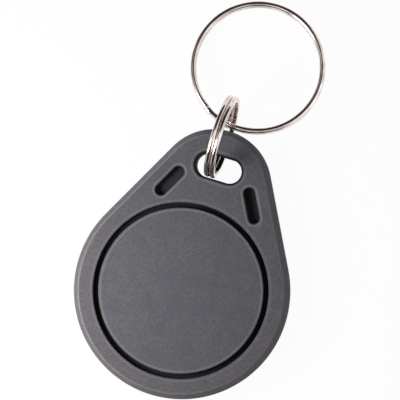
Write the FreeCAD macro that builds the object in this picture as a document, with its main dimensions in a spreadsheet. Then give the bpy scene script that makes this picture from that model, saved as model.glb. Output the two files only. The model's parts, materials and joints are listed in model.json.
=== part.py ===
import FreeCAD
import Part
import math
import os

import Sketcher
from FreeCAD import Placement, Rotation, Vector

# A proximity key fob, in millimetres. The origin is the middle of the flat disc on the back,
# +Z points out of the front face and +Y runs from the disc to the slotted tip and the rings.
# The case is two moulded halves, welded together round a coil and its chip. A small split ring
# passes through the slot and under the tip, and a larger split ring hangs on the small one.

SIZES = [
    # Face: a round disc inside a ring groove, and a flat rim round both
    ("disc_radius", 12.2, "flat disc of the face"),
    ("groove_width", 0.75, "ring groove round the disc"),
    ("groove_depth", 1.0, "ring groove"),
    ("groove_edge_radius", 0.12, "rounding of both groove edges"),
    ("rim_width", 3.05, "groove to the outline at the round end"),
    # Slot through the tip
    ("slot_offset", 4.1, "groove to the slot"),
    ("slot_width", 3.5, "slot, along the fob"),
    ("slot_length", 6.95, "slot, side to side"),
    ("slot_edge_radius", 0.3, "rounding of the slot's edges"),
    ("bridge", 3.95, "plastic between the slot and the end of the tip"),
    ("tip_radius", 8.5, "slotted end of the outline"),
    # Side of the case
    ("thickness", 4.2, "front face to back face"),
    ("bevel_width", 0.82, "bevel, seen from the front"),
    ("bevel_rise", 1.55, "bevel, seen from the side"),
    ("face_edge_radius", 0.2, "rounding between face and bevel"),
    ("shoulder_radius", 0.35, "rounding between bevel and side wall"),
    ("parting_chamfer", 0.07, "small chamfer where the halves meet"),
    # Two blind recesses, parallel to the straight sides, between the groove and the slot
    ("recess_inset", 3.41, "side of the outline to the recess's centre line"),
    ("recess_groove_gap", 1.44, "groove to the recess"),
    ("recess_slot_gap", 1.82, "slot to the recess"),
    ("recess_width", 1.5, "recess"),
    ("recess_depth", 1.2, "recess"),
    ("recess_edge_radius", 0.32, "rounding of the recess's edge"),
    # Inside of the case and its weld seam
    ("face_wall", 0.9, "wall between a face and the coil cavity"),
    ("groove_wall", 0.9, "wall between the ring groove and the coil cavity"),
    ("seam_inset", 1.9, "outline to the middle of the weld seam"),
    ("tongue_width", 0.5, "tongue of the weld seam"),
    ("tongue_height", 0.5, "tongue of the weld seam"),
    ("tongue_clearance", 0.04, "room round the tongue in its groove"),
    # Coil
    ("coil_room", 0.7, "cavity wall to the outside of the coil"),
    ("coil_build", 1.8, "winding, outside to inside"),
    ("coil_height", 1.0, "winding"),
    ("coil_corner", 0.2, "chamfer of the winding's section"),
    ("lead_diameter", 0.16, "the twisted coil lead"),
    # Chip module, centred in the coil
    ("board_length", 8.0, "carrier board along X"),
    ("board_width", 5.0, "carrier board along Y"),
    ("board_thickness", 0.25, "carrier board"),
    ("pad_length", 2.0, "copper pad along X"),
    ("pad_width", 4.0, "copper pad along Y"),
    ("pad_thickness", 0.05, "copper pad"),
    ("pad_margin", 0.15, "end of the board to the pad"),
    ("die_side", 1.1, "silicon die"),
    ("die_thickness", 0.2, "silicon die"),
    ("glob_radius", 1.6, "epoxy dome at the board"),
    ("glob_height", 0.7, "epoxy dome"),
    ("solder_radius", 0.8, "solder blob at the pad"),
    ("solder_height", 0.45, "solder blob"),
    ("solder_clearance", 0.01, "round the lead in the solder"),
    # Split rings: each is one wire in two flat turns, with a jog from the lower to the upper turn
    ("turn_gap", 0.04, "between the two turns of a ring"),
    ("end_gap", 0.35, "end of a turn to the jog"),
    ("link_diameter", 12.45, "small ring, outside"),
    ("link_wire_width", 0.8, "small ring's wire, along the radius"),
    ("link_wire_height", 0.76, "small ring's wire, along the ring's axis"),
    ("link_corner", 0.26, "chamfer of the small ring's wire"),
    ("link_jog_angle", 27.0, "degrees that the small ring's jog takes"),
    ("link_sideways", -0.84, "small ring's middle, from the fob's centre line"),
    ("link_lean_angle", 2.75, "degrees that the small ring leans over to -X"),
    ("link_clearance", 0.13, "small ring to the edges of the slot that it rests against"),
    ("key_diameter", 20.0, "large ring, outside"),
    ("key_wire_width", 0.85, "large ring's wire, along the radius"),
    ("key_wire_height", 0.78, "large ring's wire, along the ring's axis"),
    ("key_corner", 0.26, "chamfer of the large ring's wire"),
    ("key_jog_angle", 17.0, "degrees that the large ring's jog takes"),
    ("key_jog_place_angle", -113.5, "degrees from +X to the middle of the large ring's jog"),
    ("key_sideways", 0.81, "large ring's middle, from the fob's centre line"),
    ("key_tip_gap", 0.48, "end of the tip to the large ring"),
    ("key_clearance", 0.13, "large ring's wire to the small ring, however it is turned"),
    ("rest_clearance", 0.03, "large ring's far side to the surface that the fob lies on"),
]

# Steps of the loft that makes a ring's jog
JOG_STEPS = 6

# Two lengths this close are the same
TOLERANCE = 1e-4

# Expressions of the sheet's values, all from the disc's centre
HALF = "sizes.thickness / 2"
GROOVE_OUTSIDE = "(sizes.disc_radius + sizes.groove_width)"
BODY_RADIUS = "(" + GROOVE_OUTSIDE + " + sizes.rim_width)"
SLOT_MIDDLE = "(" + GROOVE_OUTSIDE + " + sizes.slot_offset + sizes.slot_width / 2)"
SLOT_REACH = "((sizes.slot_length - sizes.slot_width) / 2)"
TIP_CENTRE = "(" + SLOT_MIDDLE + " + sizes.slot_width / 2 + sizes.bridge - sizes.tip_radius)"
SIDE_LEAN = "asin((" + BODY_RADIUS + " - sizes.tip_radius) / " + TIP_CENTRE + ")"
BACK_EDGE = "(" + BODY_RADIUS + " - sizes.bevel_width)"
CAVITY_RADIUS = "(sizes.disc_radius - sizes.groove_wall)"
COIL_OUTER = "(" + CAVITY_RADIUS + " - sizes.coil_room)"
COIL_INNER = "(" + COIL_OUTER + " - sizes.coil_build)"
BOARD_TOP = "(sizes.face_wall + sizes.board_thickness)"
PAD_TOP = "(" + BOARD_TOP + " + sizes.pad_thickness)"
PAD_MIDDLE = "(sizes.board_length / 2 - sizes.pad_margin - sizes.pad_length / 2)"

doc = FreeCAD.newDocument("key_fob")
sizes = doc.addObject("Spreadsheet::Sheet", "sizes")
for row, (alias, number, note) in enumerate(SIZES, start=1):
    sizes.set("A%d" % row, note)
    sizes.set("B%d" % row, str(number))
    sizes.setAlias("B%d" % row, alias)
doc.recompute()


def size(expression):
    """The number that an expression of the sheet's values gives."""
    return float(sizes.evalExpression(expression.replace("sizes.", "")))


def plane(body, role):
    """A body's own origin plane or axis."""
    return [feature for feature in body.Origin.OriginFeatures if feature.Role == role][0]


def flat_sketch(body, name, lift="0"):
    """A sketch parallel to the body's XY plane, at the height that lift gives."""
    sketch = body.newObject("Sketcher::SketchObject", name)
    sketch.AttachmentSupport = [(plane(body, "XY_Plane"), "")]
    sketch.MapMode = "FlatFace"
    sketch.setExpression("AttachmentOffset.Base.z", lift)
    return sketch


def bind(sketch, name, constraint, expression):
    """Adds a dimension to a sketch and ties it to the sheet."""
    index = sketch.addConstraint(constraint)
    sketch.renameConstraint(index, name)
    sketch.setExpression("Constraints." + name, expression)


def arc(centre, radius, start, end):
    circle = Part.Circle(centre, Vector(0, 0, 1), radius)
    return Part.ArcOfCircle(circle, start, end)


def join_tangent(sketch, loop):
    """Joins each piece of a loop to the next, end to start, without a corner."""
    for piece, following in zip(loop, loop[1:] + loop[:1]):
        sketch.addConstraint(Sketcher.Constraint("Tangent", piece, 2, following, 1))


def draw_circle(sketch, name, radius):
    """A circle about the sketch's origin."""
    circle = sketch.addGeometry(Part.Circle(Vector(), Vector(0, 0, 1), size(radius)))
    sketch.addConstraint(Sketcher.Constraint("Coincident", circle, 3, -1, 1))
    bind(sketch, name, Sketcher.Constraint("Radius", circle, size(radius)), radius)


def draw_outline(sketch, name, inset):
    """The fob's outline, drawn in by inset: two arcs and the straight sides that touch both."""
    big = "%s - (%s)" % (BODY_RADIUS, inset)
    tip = "sizes.tip_radius - (%s)" % inset
    big_radius, tip_radius, distance = size(big), size(tip), size(TIP_CENTRE)
    lean = math.radians(size(SIDE_LEAN))
    outward = Vector(math.cos(lean), math.sin(lean))
    mirrored = Vector(-outward.x, outward.y)
    tip_centre = Vector(0, distance)
    right_side = sketch.addGeometry(
        Part.LineSegment(outward * big_radius, tip_centre + outward * tip_radius))
    tip_arc = sketch.addGeometry(arc(tip_centre, tip_radius, lean, math.pi - lean))
    left_side = sketch.addGeometry(
        Part.LineSegment(tip_centre + mirrored * tip_radius, mirrored * big_radius))
    big_arc = sketch.addGeometry(arc(Vector(), big_radius, math.pi - lean, 2 * math.pi + lean))
    join_tangent(sketch, [right_side, tip_arc, left_side, big_arc])
    sketch.addConstraint(Sketcher.Constraint("Coincident", big_arc, 3, -1, 1))
    sketch.addConstraint(Sketcher.Constraint("PointOnObject", tip_arc, 3, -2))
    bind(sketch, name + "_big", Sketcher.Constraint("Radius", big_arc, big_radius), big)
    bind(sketch, name + "_tip", Sketcher.Constraint("Radius", tip_arc, tip_radius), tip)
    bind(sketch, name + "_reach",
         Sketcher.Constraint("DistanceY", -1, 1, tip_arc, 3, distance), TIP_CENTRE)


def draw_oblong(sketch, name, start, end, width):
    """A straight slot with round ends, whose arcs are centred at start and end."""
    first = Vector(size(start[0]), size(start[1]))
    last = Vector(size(end[0]), size(end[1]))
    radius = size(width) / 2
    along = (last - first).normalize()
    across = Vector(-along.y, along.x) * radius
    heading = math.atan2(along.y, along.x)
    quarter = math.pi / 2
    far_end = sketch.addGeometry(arc(last, radius, heading - quarter, heading + quarter))
    one_side = sketch.addGeometry(Part.LineSegment(last + across, first + across))
    near_end = sketch.addGeometry(arc(first, radius, heading + quarter, heading + 3 * quarter))
    other_side = sketch.addGeometry(Part.LineSegment(first - across, last - across))
    join_tangent(sketch, [far_end, one_side, near_end, other_side])
    sketch.addConstraint(Sketcher.Constraint("Equal", near_end, far_end))
    bind(sketch, name + "_round", Sketcher.Constraint("Radius", far_end, radius), width + " / 2")
    for label, piece, place, at in (("_near", near_end, first, start), ("_far", far_end, last, end)):
        bind(sketch, name + label + "_x",
             Sketcher.Constraint("DistanceX", -1, 1, piece, 3, place.x), at[0])
        bind(sketch, name + label + "_y",
             Sketcher.Constraint("DistanceY", -1, 1, piece, 3, place.y), at[1])


def draw_section(sketch, name, left, bottom, width, height, corner):
    """A rectangle with chamfered corners, from its left side and its bottom."""
    x_low, y_low, cut = size(left), size(bottom), size(corner)
    x_high, y_high = x_low + size(width), y_low + size(height)
    points = [Vector(x_low + cut, y_low), Vector(x_high - cut, y_low),
              Vector(x_high, y_low + cut), Vector(x_high, y_high - cut),
              Vector(x_high - cut, y_high), Vector(x_low + cut, y_high),
              Vector(x_low, y_high - cut), Vector(x_low, y_low + cut)]
    loop = [sketch.addGeometry(Part.LineSegment(points[i], points[(i + 1) % 8])) for i in range(8)]
    for side, following in zip(loop, loop[1:] + loop[:1]):
        sketch.addConstraint(Sketcher.Constraint("Coincident", side, 2, following, 1))
    floor, right, top, left_side = loop[0::2]
    for level, upright in ((floor, right), (top, left_side)):
        sketch.addConstraint(Sketcher.Constraint("Horizontal", level))
        sketch.addConstraint(Sketcher.Constraint("Vertical", upright))
    turns = ((1, 1), (-1, 1), (-1, -1), (1, -1))
    for number, (chamfer, (x_sign, y_sign)) in enumerate(zip(loop[1::2], turns)):
        for axis, sign in (("X", x_sign), ("Y", y_sign)):
            bind(sketch, "%s_cut_%d_%s" % (name, number, axis.lower()),
                 Sketcher.Constraint("Distance" + axis, chamfer, 1, chamfer, 2, sign * cut),
                 "%d * %s" % (sign, corner))
    for label, axis, line, place, expression in (
            ("left", "X", left_side, x_low, left), ("right", "X", right, x_high, left + " + " + width),
            ("bottom", "Y", floor, y_low, bottom), ("top", "Y", top, y_high, bottom + " + " + height)):
        bind(sketch, name + "_" + label,
             Sketcher.Constraint("Distance" + axis, -1, 1, line, 1, place), expression)


def extrude(body, kind, sketch, length, reverse=False):
    """A Pad or Pocket of a sketch."""
    feature = body.newObject("PartDesign::" + kind, kind.lower())
    feature.Profile = sketch
    feature.setExpression("Length", length)
    feature.Reversed = reverse
    doc.recompute()
    return feature


def revolve(body, sketch, angle="360", reverse=False):
    """A revolution of a sketch about the body's Z axis."""
    feature = body.newObject("PartDesign::Revolution", "revolution")
    feature.Profile = sketch
    feature.ReferenceAxis = (plane(body, "Z_Axis"), [""])
    feature.setExpression("Angle", angle)
    feature.Reversed = reverse
    doc.recompute()
    return feature


def level_edges(body, height, belongs=lambda middle: True):
    """Names of a body's edges that lie at a height and whose middle, seen from above, passes."""
    names = []
    for index, edge in enumerate(body.Shape.Edges, start=1):
        box = edge.BoundBox
        middle = edge.valueAt((edge.FirstParameter + edge.LastParameter) / 2)
        level = box.ZLength < TOLERANCE and abs(box.ZMin - height) < TOLERANCE
        if level and belongs(Vector(middle.x, middle.y)):
            names.append("Edge%d" % index)
    return names


def dress(body, kind, edges, **dimensions):
    """A Fillet or Chamfer on a body's edges, its sizes given as expressions."""
    if not edges:
        raise ValueError("no edge to dress in " + body.Label)
    base = body.Tip
    feature = body.newObject("PartDesign::" + kind, kind.lower())
    feature.Base = (base, edges)
    if "Size2" in dimensions:
        feature.ChamferType = "Two distances"
    for name, expression in dimensions.items():
        feature.setExpression(name, expression)
    doc.recompute()


def recess_ends():
    """The centres of the right-hand recess's round ends, near the groove and near the slot."""
    inside = "(%s - sizes.recess_inset)" % BODY_RADIUS
    to_groove = "(%s + sizes.recess_groove_gap + sizes.recess_width / 2)" % GROOVE_OUTSIDE
    near = "sqrt(%s^2 - %s^2)" % (to_groove, inside)
    to_slot = "(sizes.slot_width / 2 + sizes.recess_slot_gap + sizes.recess_width / 2)"
    slot_across = "(%s * cos(%s) + %s * sin(%s))" % (SLOT_REACH, SIDE_LEAN, SLOT_MIDDLE, SIDE_LEAN)
    slot_along = "(%s * cos(%s) - %s * sin(%s))" % (SLOT_MIDDLE, SIDE_LEAN, SLOT_REACH, SIDE_LEAN)
    far = "(%s - sqrt(%s^2 - (%s - %s)^2))" % (slot_along, to_slot, inside, slot_across)
    return [("%s * cos(%s) - %s * sin(%s)" % (inside, SIDE_LEAN, along, SIDE_LEAN),
             "%s * sin(%s) + %s * cos(%s)" % (inside, SIDE_LEAN, along, SIDE_LEAN))
            for along in (near, far)]


# A half of the case, drawn with the parting plane at z = 0 and its face at the top
def half_shell(label, has_tongue):
    body = doc.addObject("PartDesign::Body", label)
    face = size(HALF)

    outline = flat_sketch(body, "outline")
    draw_outline(outline, "outer", "0")
    extrude(body, "Pad", outline, HALF)
    dress(body, "Chamfer", level_edges(body, face), Size="sizes.bevel_rise", Size2="sizes.bevel_width")
    dress(body, "Fillet", level_edges(body, face), Radius="sizes.face_edge_radius")
    dress(body, "Fillet", level_edges(body, face - size("sizes.bevel_rise")),
          Radius="sizes.shoulder_radius")
    dress(body, "Chamfer", level_edges(body, 0), Size="sizes.parting_chamfer")

    groove = flat_sketch(body, "ring_groove", HALF)
    draw_circle(groove, "inside", "sizes.disc_radius")
    draw_circle(groove, "outside", GROOVE_OUTSIDE)
    extrude(body, "Pocket", groove, "sizes.groove_depth")
    limit = size(GROOVE_OUTSIDE) + TOLERANCE
    dress(body, "Fillet", level_edges(body, face, lambda middle: middle.Length < limit),
          Radius="sizes.groove_edge_radius")

    slot = flat_sketch(body, "slot", HALF)
    draw_oblong(slot, "slot", ("-" + SLOT_REACH, SLOT_MIDDLE), (SLOT_REACH, SLOT_MIDDLE),
                "sizes.slot_width")
    extrude(body, "Pocket", slot, HALF)
    slot_middle, slot_half = Vector(0, size(SLOT_MIDDLE)), size("sizes.slot_length / 2") + TOLERANCE
    dress(body, "Fillet",
          level_edges(body, face, lambda middle: (middle - slot_middle).Length < slot_half),
          Radius="sizes.slot_edge_radius")

    recess = flat_sketch(body, "recess", HALF)
    near_end, far_end = recess_ends()
    draw_oblong(recess, "recess", near_end, far_end, "sizes.recess_width")
    cut = extrude(body, "Pocket", recess, "sizes.recess_depth")
    mirrored = body.newObject("PartDesign::Mirrored", "other_recess")
    mirrored.Originals = [cut]
    mirrored.MirrorPlane = (plane(body, "YZ_Plane"), [""])
    body.Tip = mirrored
    doc.recompute()
    near_point, far_point = [Vector(size(end[0]), size(end[1])) for end in (near_end, far_end)]
    recess_middle = (near_point + far_point) / 2
    recess_half = (far_point - near_point).Length / 2 + size("sizes.recess_width / 2") + TOLERANCE

    def in_recess(middle):
        return (Vector(abs(middle.x), middle.y) - recess_middle).Length < recess_half

    dress(body, "Fillet", level_edges(body, face, in_recess), Radius="sizes.recess_edge_radius")

    cavity = flat_sketch(body, "coil_cavity")
    draw_circle(cavity, "cavity", CAVITY_RADIUS)
    extrude(body, "Pocket", cavity, HALF + " - sizes.face_wall", reverse=True)

    seam = flat_sketch(body, "seam")
    if has_tongue:
        draw_outline(seam, "outside", "sizes.seam_inset - sizes.tongue_width / 2")
        draw_outline(seam, "inside", "sizes.seam_inset + sizes.tongue_width / 2")
        extrude(body, "Pad", seam, "sizes.tongue_height", reverse=True)
    else:
        room = "(sizes.tongue_width / 2 + sizes.tongue_clearance)"
        draw_outline(seam, "outside", "sizes.seam_inset - " + room)
        draw_outline(seam, "inside", "sizes.seam_inset + " + room)
        extrude(body, "Pocket", seam, "sizes.tongue_height + sizes.tongue_clearance", reverse=True)
    return body


def place_shells():
    """The halves meet at mid height, the back one turned over about the fob's long axis."""
    parting = Vector(0, 0, size(HALF))
    front = half_shell("front_shell", has_tongue=True)
    front.Placement = Placement(parting, Rotation())
    back = half_shell("back_shell", has_tongue=False)
    back.Placement = Placement(parting, Rotation(Vector(0, 1, 0), 180))
    return [front, back]


# The winding lies on the back shell's inner floor, and its two leads run in to the chip's pads
def antenna_coil():
    body = doc.addObject("PartDesign::Body", "antenna_coil")
    section = body.newObject("Sketcher::SketchObject", "winding_section")
    section.AttachmentSupport = [(plane(body, "XZ_Plane"), "")]
    section.MapMode = "FlatFace"
    draw_section(section, "winding", COIL_INNER, "sizes.face_wall", "sizes.coil_build",
                 "sizes.coil_height", "sizes.coil_corner")
    revolve(body, section)

    lead = body.newObject("Sketcher::SketchObject", "lead_section")
    lead.AttachmentSupport = [(plane(body, "YZ_Plane"), "")]
    lead.MapMode = "FlatFace"
    lead.setExpression("AttachmentOffset.Base.z", PAD_MIDDLE)
    radius = "sizes.lead_diameter / 2"
    height = PAD_TOP + " + " + radius
    wire = lead.addGeometry(Part.Circle(Vector(0, size(height)), Vector(0, 0, 1), size(radius)))
    lead.addConstraint(Sketcher.Constraint("PointOnObject", wire, 3, -2))
    bind(lead, "lead_round", Sketcher.Constraint("Radius", wire, size(radius)), radius)
    bind(lead, "lead_height", Sketcher.Constraint("DistanceY", -1, 1, wire, 3, size(height)), height)
    run = extrude(body, "Pad", lead, "%s + sizes.lead_diameter - %s" % (COIL_INNER, PAD_MIDDLE))
    mirrored = body.newObject("PartDesign::Mirrored", "other_lead")
    mirrored.Originals = [run]
    mirrored.MirrorPlane = (plane(body, "YZ_Plane"), [""])
    body.Tip = mirrored
    doc.recompute()
    return body


def plate(label, length, width, thickness, middle_x, bottom):
    """A flat box centred at middle_x and y = 0, its underside at the height bottom."""
    box = doc.addObject("Part::Box", label)
    box.setExpression("Length", length)
    box.setExpression("Width", width)
    box.setExpression("Height", thickness)
    box.setExpression("Placement.Base.x", "%s - %s / 2" % (middle_x, length))
    box.setExpression("Placement.Base.y", "-%s / 2" % width)
    box.setExpression("Placement.Base.z", bottom)
    return box


def module_board():
    return plate("module_board", "sizes.board_length", "sizes.board_width",
                 "sizes.board_thickness", "0", "sizes.face_wall")


def chip_die():
    return plate("chip_die", "sizes.die_side", "sizes.die_side", "sizes.die_thickness",
                 "0", BOARD_TOP)


def contact_pads():
    pads = [plate("pad_" + side, "sizes.pad_length", "sizes.pad_width", "sizes.pad_thickness",
                  sign + PAD_MIDDLE, BOARD_TOP)
            for side, sign in (("left", "-"), ("right", ""))]
    both = doc.addObject("Part::Compound", "contact_pads")
    both.Links = pads
    return both


def domed_cap(label, radius, height, middle_x, bottom):
    """A ball's cap: its flat side, of the given radius, lies at the height bottom."""
    ball_radius = "((%s)^2 + (%s)^2) / (2 * %s)" % (radius, height, height)
    cap = doc.addObject("Part::Sphere", label)
    cap.setExpression("Radius", ball_radius)
    cap.setExpression("Angle1", "asin(1 - %s / (%s))" % (height, ball_radius))
    cap.setExpression("Placement.Base.x", middle_x)
    cap.setExpression("Placement.Base.z", "%s + %s - %s" % (bottom, height, ball_radius))
    return cap


def glob_top(die):
    """The epoxy dome, with the die let into its underside."""
    dome = domed_cap("dome", "sizes.glob_radius", "sizes.glob_height", "0", BOARD_TOP)
    covered = doc.addObject("Part::Cut", "glob_top")
    covered.Base = dome
    covered.Tool = die
    return covered


def solder_joints():
    """A blob of solder on each pad, with the coil's lead let into it."""
    blobs = []
    for side, sign in (("left", "-"), ("right", "")):
        blob = domed_cap("blob_" + side, "sizes.solder_radius", "sizes.solder_height",
                         sign + PAD_MIDDLE, PAD_TOP)
        channel = doc.addObject("Part::Cylinder", "channel_" + side)
        channel.setExpression("Radius", "sizes.lead_diameter / 2 + sizes.solder_clearance")
        channel.setExpression("Height", "sizes.solder_radius + sizes.solder_clearance")
        channel.Placement = Placement(Vector(), Rotation(Vector(0, 1, 0), 90))
        start = "%s - sizes.solder_clearance" % PAD_MIDDLE
        if side == "left":
            start = "-%s - sizes.solder_radius" % PAD_MIDDLE
        channel.setExpression("Placement.Base.x", start)
        channel.setExpression("Placement.Base.z", PAD_TOP + " + sizes.lead_diameter / 2")
        joint = doc.addObject("Part::Cut", "joint_" + side)
        joint.Base = blob
        joint.Tool = channel
        blobs.append(joint)
    both = doc.addObject("Part::Compound", "solder_joints")
    both.Links = blobs
    return both


# A split ring is drawn about its own middle, its axis along Z and its jog centred on +X. From the
# cut end of the lower turn the wire runs a whole turn, climbs the jog and runs the upper turn.
def split_ring(label, prefix):
    body = doc.addObject("PartDesign::Body", label)
    width, height, jog, corner = ["sizes.%s_%s" % (prefix, word)
                                  for word in ("wire_width", "wire_height", "jog_angle", "corner")]
    inner = "sizes.%s_diameter / 2 - %s" % (prefix, width)
    pitch = "(%s + sizes.turn_gap)" % height
    bottom = "-(2 * %s + sizes.turn_gap) / 2" % height

    sections = []
    for step in range(JOG_STEPS + 1):
        part_way = step / JOG_STEPS
        climbed = part_way ** 2 * (3 - 2 * part_way)
        section = body.newObject("Sketcher::SketchObject", "jog_section_%d" % step)
        section.AttachmentSupport = [(plane(body, "XZ_Plane"), "")]
        section.MapMode = "FlatFace"
        turned = "%s * (%.6f)" % (jog, part_way - 0.5)
        section.AttachmentOffset = Placement(Vector(), Rotation(Vector(0, 1, 0), 1.0))
        section.setExpression("AttachmentOffset.Rotation.Angle", turned)
        draw_section(section, "wire", inner, "%s + %s * %.6f" % (bottom, pitch, climbed),
                     width, height, corner)
        sections.append(section)
    doc.recompute()

    gap_angle = "(sizes.end_gap / (sizes.%s_diameter / 2) * 180 / pi)" % prefix
    turn_angle = "360 - %s - %s" % (jog, gap_angle)
    revolve(body, sections[0], turn_angle, reverse=True)
    climb = body.newObject("PartDesign::AdditiveLoft", "jog")
    climb.Profile = sections[0]
    climb.Sections = sections[1:]
    doc.recompute()
    revolve(body, sections[-1], turn_angle)
    return body


def link_ring_centre():
    """Where the small ring lies in the slot, as (y, z): its outside against the slot's lower
    front edge, and its inside against the underside of the bridge."""
    rounding, clearance = size("sizes.slot_edge_radius"), size("sizes.link_clearance")
    outer = size("sizes.link_diameter / 2")
    inner = outer - size("sizes.link_wire_width")
    middle, half_width = size(SLOT_MIDDLE), size("sizes.slot_width / 2")
    lower_edge = Vector(middle - half_width - rounding, size("sizes.thickness") - rounding)
    bridge_edge = Vector(middle + half_width + rounding, rounding)
    to_lower = outer + rounding + clearance
    to_bridge = inner - rounding - clearance
    between = bridge_edge - lower_edge
    along = (to_lower ** 2 - to_bridge ** 2 + between.Length ** 2) / (2 * between.Length)
    aside = math.sqrt(to_lower ** 2 - along ** 2)
    heading = Vector(between).normalize()
    return lower_edge + heading * along + Vector(-heading.y, heading.x) * aside


def resting_slope(centre):
    """The angle to the back face of the surface that the fob lies on, in degrees: it touches
    the far edge of the back face and the underside of the small ring."""
    drop = size("sizes.link_diameter / 2") - centre.y
    return math.degrees(math.atan(drop / (centre.x + size(BACK_EDGE))))


def place_rings():
    centre = link_ring_centre()
    lean = math.radians(size("sizes.link_lean_angle"))
    link_middle = Vector(size("sizes.link_sideways"), centre.x, centre.y)
    link = split_ring("link_ring", "link")
    link.Placement = Placement(link_middle, Rotation(Vector(0, 1, 0), 90 - size("sizes.link_lean_angle")))

    # The large ring's wire lies inside the small ring, far enough in to turn there freely
    half_wire = size("sizes.key_wire_width / 2")
    half_stack = size("(2 * sizes.key_wire_height + sizes.turn_gap) / 2")
    link_inner = size("sizes.link_diameter / 2 - sizes.link_wire_width")
    reach = link_inner - math.hypot(half_wire, half_stack) - size("sizes.key_clearance")
    ahead = size(TIP_CENTRE + " + sizes.tip_radius + sizes.key_tip_gap") + half_wire - link_middle.y
    drop = math.sqrt(reach ** 2 - ahead ** 2)
    seat_point = link_middle + Vector(drop * math.sin(lean), ahead, -drop * math.cos(lean))

    # Its far side lies on the surface that the fob lies on
    slope = math.radians(resting_slope(centre))
    seat_height = seat_point.z * math.cos(slope) + (seat_point.y + size(BACK_EDGE)) * math.sin(slope)
    key_outer = size("sizes.key_diameter / 2")
    key_middle_radius = key_outer - half_wire
    sideways = seat_point.x - size("sizes.key_sideways")
    seat_back = math.sqrt(key_middle_radius ** 2 - sideways ** 2)
    length = seat_back + key_outer
    fall = seat_height - size("sizes.rest_clearance")
    tilt = slope + math.asin(fall / math.hypot(length, half_stack)) - math.atan2(half_stack, length)
    key_middle = Vector(size("sizes.key_sideways"), seat_point.y + seat_back * math.cos(tilt),
                        seat_point.z - seat_back * math.sin(tilt))
    key = split_ring("key_ring", "key")
    key.Placement = Placement(
        key_middle, Rotation(Vector(1, 0, 0), -math.degrees(tilt))
        * Rotation(Vector(0, 0, 1), size("sizes.key_jog_place_angle")))
    return [link, key]


shells = place_shells()
die = chip_die()
inside = [antenna_coil(), module_board(), contact_pads(), die, glob_top(die), solder_joints()]
rings = place_rings()
doc.recompute()

nodes = shells + inside + rings
for item in doc.Objects:
    if "Invalid" in item.State or "Error" in item.State:
        raise RuntimeError(item.Name + " failed: " + ", ".join(item.State))
for node in nodes:
    if node.Shape.isNull() or not node.Shape.isValid():
        raise RuntimeError(node.Label + " has no valid shape")

os.makedirs("parts", exist_ok=True)
for node in nodes:
    node.Shape.exportStep("parts/%s.step" % node.Label)
    box = node.Shape.BoundBox
    print("%-14s solids %d  volume %8.3f mm3  x %7.2f %7.2f  y %7.2f %7.2f  z %6.2f %6.2f" % (
        node.Label, len(node.Shape.Solids), node.Shape.Volume,
        box.XMin, box.XMax, box.YMin, box.YMax, box.ZMin, box.ZMax))
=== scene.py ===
# %% [markdown]
# # A proximity key fob on two split rings
# A teardrop case of grey plastic holds a coil and a chip. It is moulded as two halves and welded
# together. A small split ring goes through its slot, and a larger split ring hangs on the small one.
# The CAD model of the fob is loaded first. Each piece below is built where that model says, in
# metres.

# %% Load the frame
import json
import math

import bmesh
import bpy
from mathutils import Matrix, Vector


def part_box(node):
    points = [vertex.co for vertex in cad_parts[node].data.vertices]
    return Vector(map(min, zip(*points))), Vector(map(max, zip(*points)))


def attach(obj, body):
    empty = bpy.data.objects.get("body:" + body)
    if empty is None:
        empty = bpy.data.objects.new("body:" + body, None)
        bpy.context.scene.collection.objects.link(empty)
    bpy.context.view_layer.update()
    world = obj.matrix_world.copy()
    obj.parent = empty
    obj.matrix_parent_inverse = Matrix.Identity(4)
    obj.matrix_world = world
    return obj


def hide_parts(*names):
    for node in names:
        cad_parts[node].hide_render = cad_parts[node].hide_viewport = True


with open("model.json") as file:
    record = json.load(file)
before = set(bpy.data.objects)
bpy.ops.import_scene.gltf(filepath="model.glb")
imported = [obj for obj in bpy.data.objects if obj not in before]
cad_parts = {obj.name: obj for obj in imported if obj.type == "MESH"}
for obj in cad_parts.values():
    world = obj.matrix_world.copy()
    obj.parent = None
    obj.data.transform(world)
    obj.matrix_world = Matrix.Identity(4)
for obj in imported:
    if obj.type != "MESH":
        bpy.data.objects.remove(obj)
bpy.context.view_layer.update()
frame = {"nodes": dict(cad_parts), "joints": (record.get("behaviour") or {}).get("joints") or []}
joints = {joint["name"]: joint for joint in frame["joints"]}
print("CAD nodes:", ", ".join(sorted(frame["nodes"])))

# %% [markdown]
# ## Sizes
# Whatever the loaded model shows from outside, such as the length of the case, is read from the box
# of a node. The rest, such as the width of the groove, is written once here, in millimetres, and
# turned to metres.

# %% Sizes of the case
MM = 0.001
shell_low, shell_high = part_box("back_shell")
case_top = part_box("front_shell")[1].z
case = {
    "Round End Radius": shell_high.x,
    "Tip Radius": 8.5 * MM,
    "Face Height": case_top / 2,
    "Bevel Width": 0.82 * MM,
    "Bevel Rise": 1.55 * MM,
    "Face Edge Radius": 0.2 * MM,
    "Shoulder Radius": 0.35 * MM,
    "Parting Chamfer": 0.07 * MM,
    "Disc Radius": 12.2 * MM,
    "Groove Width": 0.75 * MM,
    "Groove Depth": 1.0 * MM,
    "Groove Edge Radius": 0.12 * MM,
    "Slot Width": 3.5 * MM,
    "Slot Length": 6.95 * MM,
    "Slot Edge Radius": 0.3 * MM,
    "Recess Width": 1.5 * MM,
    "Recess Depth": 1.2 * MM,
    "Recess Edge Radius": 0.32 * MM,
    "Cavity Radius": 11.3 * MM,
    "Face Wall": 0.9 * MM,
    "Seam Inset": 1.9 * MM,
}
BRIDGE = 3.95 * MM
RECESS_INSET = 3.41 * MM
RECESS_GROOVE_GAP = 1.44 * MM
RECESS_SLOT_GAP = 1.82 * MM
TONGUE = {"Seam Half Width": 0.25 * MM, "Seam Drop": 0.5 * MM, "Turned Over": 0.0}
TONGUE_GROOVE = {"Seam Half Width": 0.29 * MM, "Seam Drop": -0.54 * MM, "Turned Over": 1.0}

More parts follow.
